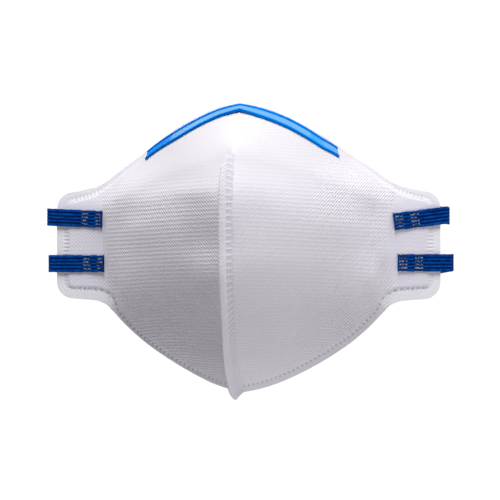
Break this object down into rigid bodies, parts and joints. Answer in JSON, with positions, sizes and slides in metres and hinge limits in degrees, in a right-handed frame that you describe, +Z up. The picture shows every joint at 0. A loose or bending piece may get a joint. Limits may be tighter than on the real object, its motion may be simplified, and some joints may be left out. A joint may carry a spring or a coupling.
{
  "type": "folding respirator mask",
  "caption": "Vertical-fold filtering face mask, opened as worn, with a welded front fin, a blue nose clip and elastic head straps.",
  "frame": {"origin": "centre of the face opening, in the plane of the two side tabs, where the mask sits on the face", "axes": "+Z up; -Y is the outside, the way the wearer looks; +X is to the wearer's left"},
  "size_m": [0.1701, 0.1614, 0.1218],
  "materials": {
    "filter_fabric": "matte embossed nonwoven",
    "nose_clip_plastic": "smooth, slightly translucent blue plastic",
    "strap_elastic": "braided elastic, dark blue"
  },
  "bodies": {
    "root": {"mask_body": "filter_fabric", "centre_fin": "filter_fabric", "nose_clip": "nose_clip_plastic", "upper_head_strap": "strap_elastic", "lower_head_strap": "strap_elastic"}
  },
  "joints": []
}
